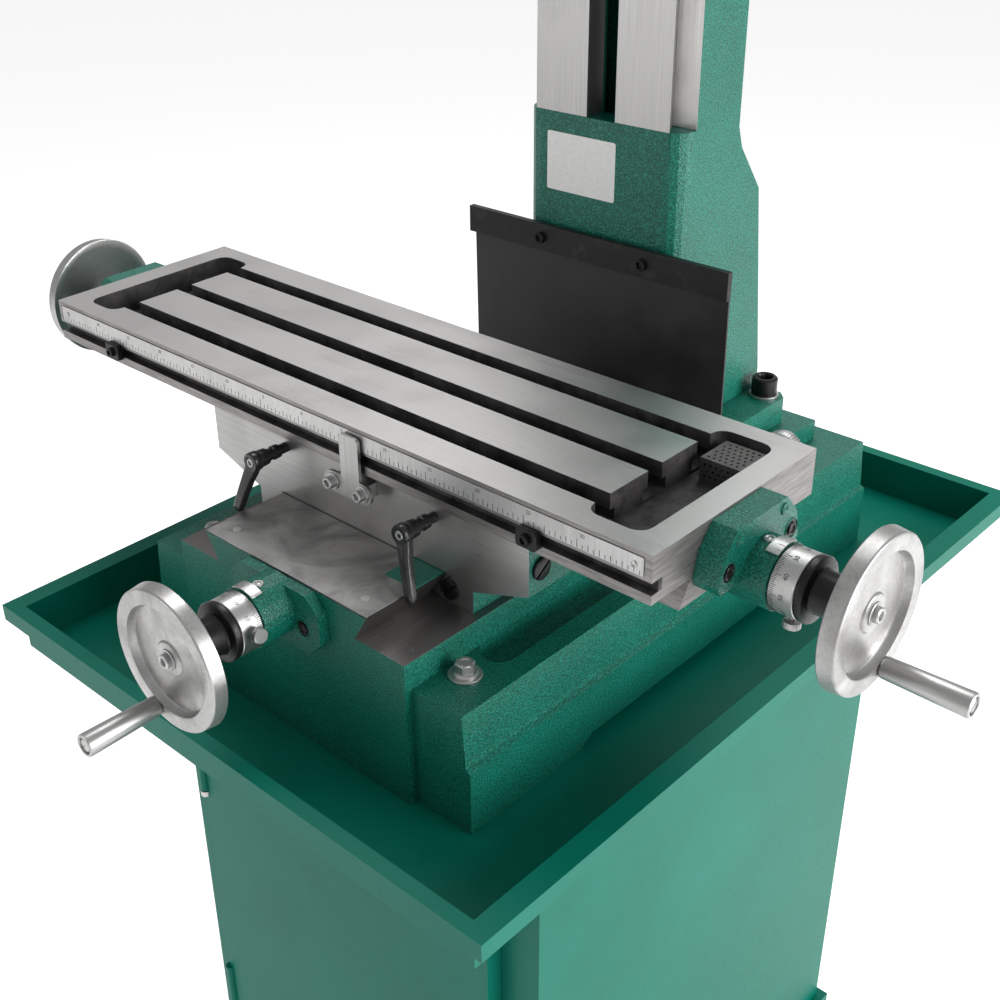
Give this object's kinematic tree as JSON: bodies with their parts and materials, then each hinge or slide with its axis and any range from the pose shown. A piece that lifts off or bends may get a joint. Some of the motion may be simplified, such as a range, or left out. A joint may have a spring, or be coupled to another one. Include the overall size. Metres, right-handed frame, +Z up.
{
  "type": "vertical milling machine",
  "caption": "Bench-style vertical milling machine on a cabinet stand with chip tray, cross table, dovetail column and tilting head with quill and spindle.",
  "frame": {"origin": "on the floor, at the middle of the stand's bottom plate", "axes": "+X to the operator's right, +Y to the back, +Z up"},
  "size_m": [1.0835, 0.916, 1.86],
  "materials": {
    "sheet_paint": "gloss",
    "cast_paint": "hammered",
    "cast_iron": "ground",
    "machined_steel": "satin",
    "satin_aluminium": "satin",
    "black_steel": "satin",
    "black_rubber": "matt",
    "bronze": "satin",
    "motor_paint": "satin",
    "black_plastic": "gloss",
    "green_plastic": "gloss",
    "red_plastic": "gloss"
  },
  "bodies": {
    "stand": {"stand_plinth": "sheet_paint", "stand_cabinet": "sheet_paint", "chip_tray": "sheet_paint", "base_casting": "cast_paint", "way_cover": "machined_steel", "y_screw_bracket": "cast_paint", "column_casting": "cast_paint", "z_gearbox": "cast_paint", "guard_bar": "black_steel", "guard_sheet": "black_rubber"},
    "door": {"stand_door": "sheet_paint"},
    "saddle": {"saddle_casting": "cast_iron", "saddle_y_gib": "machined_steel", "saddle_x_gib": "machined_steel", "y_screw_nut": "bronze", "x_screw_nut": "bronze", "travel_pointer": "machined_steel"},
    "left_lever": {"clamp_lever_left": "black_steel"},
    "right_lever": {"clamp_lever_right": "black_steel"},
    "table": {"table_casting": "cast_iron", "trough_strainer": "black_steel", "table_scale": "machined_steel", "x_bracket_right": "cast_paint", "x_bracket_left": "cast_paint"},
    "x_screw": {"x_leadscrew": "machined_steel", "x_dial": "satin_aluminium", "x_clutch_hub": "black_steel", "x_wheel_right": "satin_aluminium", "x_wheel_left": "satin_aluminium"},
    "x_right_handle": {"x_grip_right": "machined_steel"},
    "x_left_handle": {"x_grip_left": "machined_steel"},
    "y_screw": {"y_leadscrew": "machined_steel", "y_dial": "satin_aluminium", "y_clutch_hub": "black_steel", "y_wheel": "satin_aluminium"},
    "y_handle": {"y_grip": "machined_steel"},
    "z_crank": {"z_crank_shaft": "machined_steel", "z_wheel": "satin_aluminium"},
    "z_handle": {"z_grip": "machined_steel"},
    "z_screw": {"z_leadscrew": "machined_steel"},
    "carriage": {"head_carriage": "cast_paint", "carriage_gib": "machined_steel", "z_screw_nut": "bronze"},
    "head": {"head_casting": "cast_paint", "head_cover": "cast_paint", "spindle_motor": "motor_paint", "drawbar_cap": "black_plastic", "control_box": "motor_paint"},
    "rotor": {"motor_rotor": "machined_steel"},
    "gear": {"drive_gear": "machined_steel"},
    "quill": {"quill": "machined_steel"},
    "spindle": {"spindle": "machined_steel"},
    "feed": {"feed_handle": "machined_steel"},
    "quill_lock": {"quill_lock": "black_steel"},
    "speed_knob": {"speed_knob": "black_plastic"},
    "start_button": {"start_button": "green_plastic"},
    "stop_button": {"stop_button": "red_plastic"}
  },
  "joints": [
    {"name": "door_hinge", "type": "hinge", "parent": "stand", "child": "door", "pos_m": [-0.198, -0.288, 0.32], "axis": [0, 0, 1], "range_deg": [-110, 0]},
    {"name": "saddle_slide", "type": "slide", "parent": "stand", "child": "saddle", "axis": [0, 1, 0], "range_m": [-0.08, 0.095]},
    {"name": "y_screw_turn", "type": "hinge", "parent": "stand", "child": "y_screw", "pos_m": [0, -0.1, 0.7893], "axis": [0, 1, 0], "range_deg": [-11600, 13760]},
    {"name": "y_handle_spin", "type": "hinge", "parent": "y_screw", "child": "y_handle", "pos_m": [-0.0185, -0.4355, 0.7386], "axis": [0, 1, 0], "continuous": true},
    {"name": "left_lever_turn", "type": "hinge", "parent": "saddle", "child": "left_lever", "pos_m": [-0.091, -0.252, 0.863], "axis": [0, 1, 0], "range_deg": [0, 60]},
    {"name": "right_lever_turn", "type": "hinge", "parent": "saddle", "child": "right_lever", "pos_m": [0.091, -0.252, 0.863], "axis": [0, 1, 0], "range_deg": [-60, 0]},
    {"name": "table_slide", "type": "slide", "parent": "saddle", "child": "table", "axis": [1, 0, 0], "range_m": [-0.1636, 0.2764]},
    {"name": "x_screw_turn", "type": "hinge", "parent": "table", "child": "x_screw", "pos_m": [-0.0564, -0.1325, 0.8715], "axis": [1, 0, 0], "range_deg": [-23600, 39900]},
    {"name": "x_right_handle_spin", "type": "hinge", "parent": "x_screw", "child": "x_right_handle", "pos_m": [0.4255, -0.1161, 0.82], "axis": [1, 0, 0], "continuous": true},
    {"name": "x_left_handle_spin", "type": "hinge", "parent": "x_screw", "child": "x_left_handle", "pos_m": [-0.522, -0.0857, 0.8445], "axis": [1, 0, 0], "continuous": true},
    {"name": "z_crank_turn", "type": "hinge", "parent": "stand", "child": "z_crank", "pos_m": [0.06, 0.14, 1.75], "axis": [1, 0, 0], "range_deg": [0, 50200]},
    {"name": "z_handle_spin", "type": "hinge", "parent": "z_crank", "child": "z_handle", "pos_m": [0.139, 0.167, 1.7032], "axis": [1, 0, 0], "continuous": true},
    {"name": "z_screw_turn", "type": "hinge", "parent": "stand", "child": "z_screw", "pos_m": [0, 0.14, 1.4], "axis": [0, 0, 1], "range_deg": [0, 50200]},
    {"name": "head_slide", "type": "slide", "parent": "stand", "child": "carriage", "axis": [0, 0, 1], "range_m": [-0.348, 0]},
    {"name": "head_tilt", "type": "hinge", "parent": "carriage", "child": "head", "pos_m": [0, 0.03, 1.56], "axis": [0, 1, 0], "range_deg": [-45, 45]},
    {"name": "rotor_spin", "type": "hinge", "parent": "head", "child": "rotor", "pos_m": [0, -0.042, 1.7], "axis": [0, 0, 1], "continuous": true},
    {"name": "gear_spin", "type": "hinge", "parent": "head", "child": "gear", "pos_m": [0, -0.13, 1.6], "axis": [0, 0, 1], "continuous": true},
    {"name": "quill_slide", "type": "slide", "parent": "head", "child": "quill", "axis": [0, 0, 1], "range_m": [-0.085, 0]},
    {"name": "spindle_spin", "type": "hinge", "parent": "quill", "child": "spindle", "pos_m": [0, -0.13, 1.46], "axis": [0, 0, 1], "continuous": true},
    {"name": "feed_turn", "type": "hinge", "parent": "head", "child": "feed", "pos_m": [0.09, -0.0785, 1.48], "axis": [1, 0, 0], "range_deg": [0, 360]},
    {"name": "quill_lock_turn", "type": "hinge", "parent": "head", "child": "quill_lock", "pos_m": [-0.09, -0.17, 1.44], "axis": [1, 0, 0], "range_deg": [-30, 30]},
    {"name": "speed_knob_turn", "type": "hinge", "parent": "head", "child": "speed_knob", "pos_m": [-0.038, -0.265, 1.47], "axis": [0, 1, 0], "range_deg": [0, 270]},
    {"name": "start_press", "type": "slide", "parent": "head", "child": "start_button", "axis": [0, 1, 0], "range_m": [0, 0.002], "stiffness_N_per_m": 800},
    {"name": "stop_press", "type": "slide", "parent": "head", "child": "stop_button", "axis": [0, 1, 0], "range_m": [0, 0.004], "stiffness_N_per_m": 600}
  ],
  "couplings": [
    {"joint": "y_screw_turn", "follows": "saddle_slide", "rad_per_m": 2513.3},
    {"joint": "x_screw_turn", "follows": "table_slide", "rad_per_m": 2513.3},
    {"joint": "z_screw_turn", "follows": "head_slide", "rad_per_m": -2513.3},
    {"joint": "z_crank_turn", "follows": "head_slide", "rad_per_m": -2513.3},
    {"joint": "gear_spin", "follows": "rotor_spin", "ratio": -0.51429},
    {"joint": "spindle_spin", "follows": "rotor_spin", "ratio": -0.51429},
    {"joint": "quill_slide", "follows": "feed_turn", "m_per_rad": -0.0135}
  ]
}
